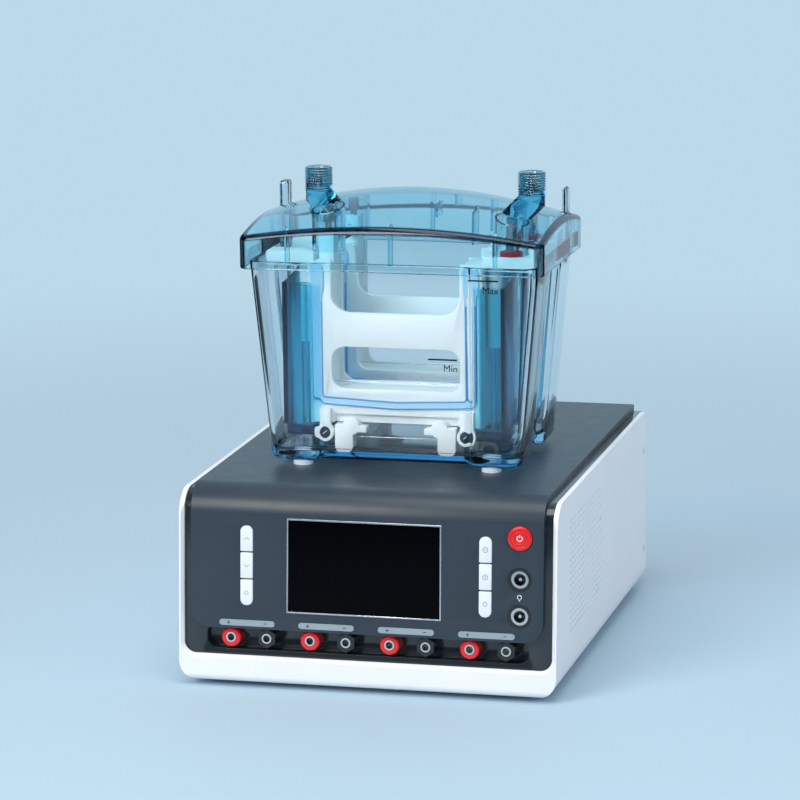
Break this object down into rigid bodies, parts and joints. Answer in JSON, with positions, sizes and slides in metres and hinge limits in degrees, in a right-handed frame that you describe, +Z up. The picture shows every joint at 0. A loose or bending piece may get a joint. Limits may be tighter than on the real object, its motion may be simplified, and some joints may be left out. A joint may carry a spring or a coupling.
{
  "type": "gel electrophoresis apparatus",
  "caption": "Vertical gel electrophoresis apparatus: clear lidded buffer tank with hinged-clamp electrode cores, standing on a bench power supply with display and output sockets.",
  "frame": {"origin": "bottom centre of the bounding box, in the plane the rubber feet stand on", "axes": "+Z up, -Y out of the front with the display, +X to the right seen from the front"},
  "size_m": [0.22, 0.2777, 0.2866],
  "materials": {
    "white_paint": "satin white powder coat",
    "steel": "plain zinc-plated steel",
    "foot_rubber": "black rubber",
    "dark_gloss": "glossy near-black",
    "panel_paint": "satin dark slate blue",
    "rim_metal": "satin aluminium",
    "display_black": "glossy black display window",
    "board_green": "circuit board",
    "key_white": "satin white keys",
    "button_red": "glossy red",
    "plate_grey": "smooth slate grey",
    "socket_red": "glossy red",
    "socket_black": "glossy black",
    "nickel": "bright nickel plating",
    "inner_black": "matt black moulding",
    "rear_paint": "dark grey paint",
    "winding_copper": "lacquered copper winding in tape",
    "sink_metal": "extruded aluminium",
    "capacitor_sleeve": "dark blue sleeve",
    "clear_tank": "clear moulded plastic with a faint blue tint",
    "clear_foot": "translucent white pad",
    "blue_lid": "clear light blue moulded plastic",
    "contact_metal": "nickel plating",
    "link_red": "glossy red link bar",
    "link_black": "glossy black link bar",
    "core_white": "white moulded plastic",
    "gasket_blue": "soft light blue silicone",
    "pin_dark": "dark pin",
    "wing_blue": "translucent deep blue moulded plastic"
  },
  "bodies": {
    "supply": {"white_shell": "white_paint", "side_screws": "steel", "rubber_feet": "foot_rubber", "dark_cover": "dark_gloss", "control_panel": "panel_paint", "display_frame": "rim_metal", "display_glass": "display_black", "display_module": "inner_black", "key_board": "board_green", "polarity_plates": "plate_grey", "red_sockets": "socket_red", "black_sockets": "socket_black", "socket_sleeves": "nickel", "socket_nuts": "nickel", "lamp_jacks": "socket_black", "lamp_jack_contacts": "nickel", "rear_panel": "rear_paint", "mains_inlet": "inner_black", "inlet_pins": "nickel", "switch_frame": "inner_black", "fan_frame": "inner_black", "fan_grille": "steel", "transformer_core": "steel", "transformer_winding": "winding_copper", "board_standoffs": "nickel", "main_board": "board_green", "heat_sink": "sink_metal", "capacitors": "capacitor_sleeve"},
    "key_left_bottom": {"key_left_bottom": "key_white"},
    "key_left_middle": {"key_left_middle": "key_white"},
    "key_left_top": {"key_left_top": "key_white"},
    "key_right_bottom": {"key_right_bottom": "key_white"},
    "key_right_middle": {"key_right_middle": "key_white"},
    "key_right_top": {"key_right_top": "key_white"},
    "power_button": {"power_button": "button_red"},
    "rocker": {"rocker": "socket_black"},
    "fan_rotor": {"fan_rotor": "inner_black"},
    "fuse_drawer": {"fuse_drawer": "inner_black"},
    "tank": {"tank": "clear_tank", "tank_feet": "clear_foot"},
    "lid": {"lid": "blue_lid", "lead_elbows": "blue_lid", "lead_pins": "contact_metal", "lid_contacts": "contact_metal", "red_link": "link_red", "black_link": "link_black"},
    "front_core": {"front_core_frame": "core_white", "front_core_gaskets": "gasket_blue", "front_core_conductors": "contact_metal", "front_core_pivot_pins": "pin_dark", "front_core_red_ring": "link_red"},
    "front_left_wing": {"front_core_wing_left": "wing_blue"},
    "front_right_wing": {"front_core_wing_right": "wing_blue"},
    "rear_core": {"rear_core_frame": "core_white", "rear_core_gaskets": "gasket_blue", "rear_core_conductors": "contact_metal", "rear_core_pivot_pins": "pin_dark", "rear_core_red_ring": "link_red"},
    "rear_left_wing": {"rear_core_wing_left": "wing_blue"},
    "rear_right_wing": {"rear_core_wing_right": "wing_blue"}
  },
  "joints": [
    {"name": "key_left_bottom_press", "type": "slide", "parent": "supply", "child": "key_left_bottom", "axis": [0, 0.9976, -0.0698], "range_m": [0, 0.001], "stiffness_N_per_m": 500, "springref_m": -0.001},
    {"name": "key_left_middle_press", "type": "slide", "parent": "supply", "child": "key_left_middle", "axis": [0, 0.9976, -0.0698], "range_m": [0, 0.001], "stiffness_N_per_m": 500, "springref_m": -0.001},
    {"name": "key_left_top_press", "type": "slide", "parent": "supply", "child": "key_left_top", "axis": [0, 0.9976, -0.0698], "range_m": [0, 0.001], "stiffness_N_per_m": 500, "springref_m": -0.001},
    {"name": "key_right_bottom_press", "type": "slide", "parent": "supply", "child": "key_right_bottom", "axis": [0, 0.9976, -0.0698], "range_m": [0, 0.001], "stiffness_N_per_m": 500, "springref_m": -0.001},
    {"name": "key_right_middle_press", "type": "slide", "parent": "supply", "child": "key_right_middle", "axis": [0, 0.9976, -0.0698], "range_m": [0, 0.001], "stiffness_N_per_m": 500, "springref_m": -0.001},
    {"name": "key_right_top_press", "type": "slide", "parent": "supply", "child": "key_right_top", "axis": [0, 0.9976, -0.0698], "range_m": [0, 0.001], "stiffness_N_per_m": 500, "springref_m": -0.001},
    {"name": "power_button_press", "type": "slide", "parent": "supply", "child": "power_button", "axis": [0, 0.9976, -0.0698], "range_m": [0, 0.001], "stiffness_N_per_m": 600, "springref_m": -0.001},
    {"name": "rocker_tilt", "type": "hinge", "parent": "supply", "child": "rocker", "pos_m": [-0.028, 0.1345, 0.04], "axis": [1, 0, 0], "range_deg": [-14, 0]},
    {"name": "fuse_drawer_slide", "type": "slide", "parent": "supply", "child": "fuse_drawer", "axis": [0, 1, 0], "range_m": [0, 0.018]},
    {"name": "fan_spin", "type": "hinge", "parent": "supply", "child": "fan_rotor", "pos_m": [0.045, 0.125, 0.06], "axis": [0, 1, 0], "continuous": true},
    {"name": "tank_lift", "type": "slide", "parent": "supply", "child": "tank", "axis": [0, 0, 1], "range_m": [0, 0.1]},
    {"name": "lid_lift", "type": "slide", "parent": "tank", "child": "lid", "axis": [0, 0, 1], "range_m": [0, 0.24]},
    {"name": "front_core_lift", "type": "slide", "parent": "tank", "child": "front_core", "axis": [0, 0, 1], "range_m": [0, 0.12]},
    {"name": "front_left_wing_hinge", "type": "hinge", "parent": "front_core", "child": "front_left_wing", "pos_m": [-0.0408, -0.0495, 0.1355], "axis": [0, -1, 0], "range_deg": [0, 5]},
    {"name": "front_right_wing_hinge", "type": "hinge", "parent": "front_core", "child": "front_right_wing", "pos_m": [0.0432, -0.0495, 0.1355], "axis": [0, 1, 0], "range_deg": [0, 5]},
    {"name": "rear_core_lift", "type": "slide", "parent": "tank", "child": "rear_core", "axis": [0, 0, 1], "range_m": [0, 0.12]},
    {"name": "rear_left_wing_hinge", "type": "hinge", "parent": "rear_core", "child": "rear_left_wing", "pos_m": [-0.0408, 0.0075, 0.1355], "axis": [0, -1, 0], "range_deg": [0, 5]},
    {"name": "rear_right_wing_hinge", "type": "hinge", "parent": "rear_core", "child": "rear_right_wing", "pos_m": [0.0432, 0.0075, 0.1355], "axis": [0, 1, 0], "range_deg": [0, 5]}
  ],
  "couplings": [
    {"joint": "front_core_lift", "follows": "lid_lift", "ratio": 0.5},
    {"joint": "rear_core_lift", "follows": "lid_lift", "ratio": 0.5}
  ]
}
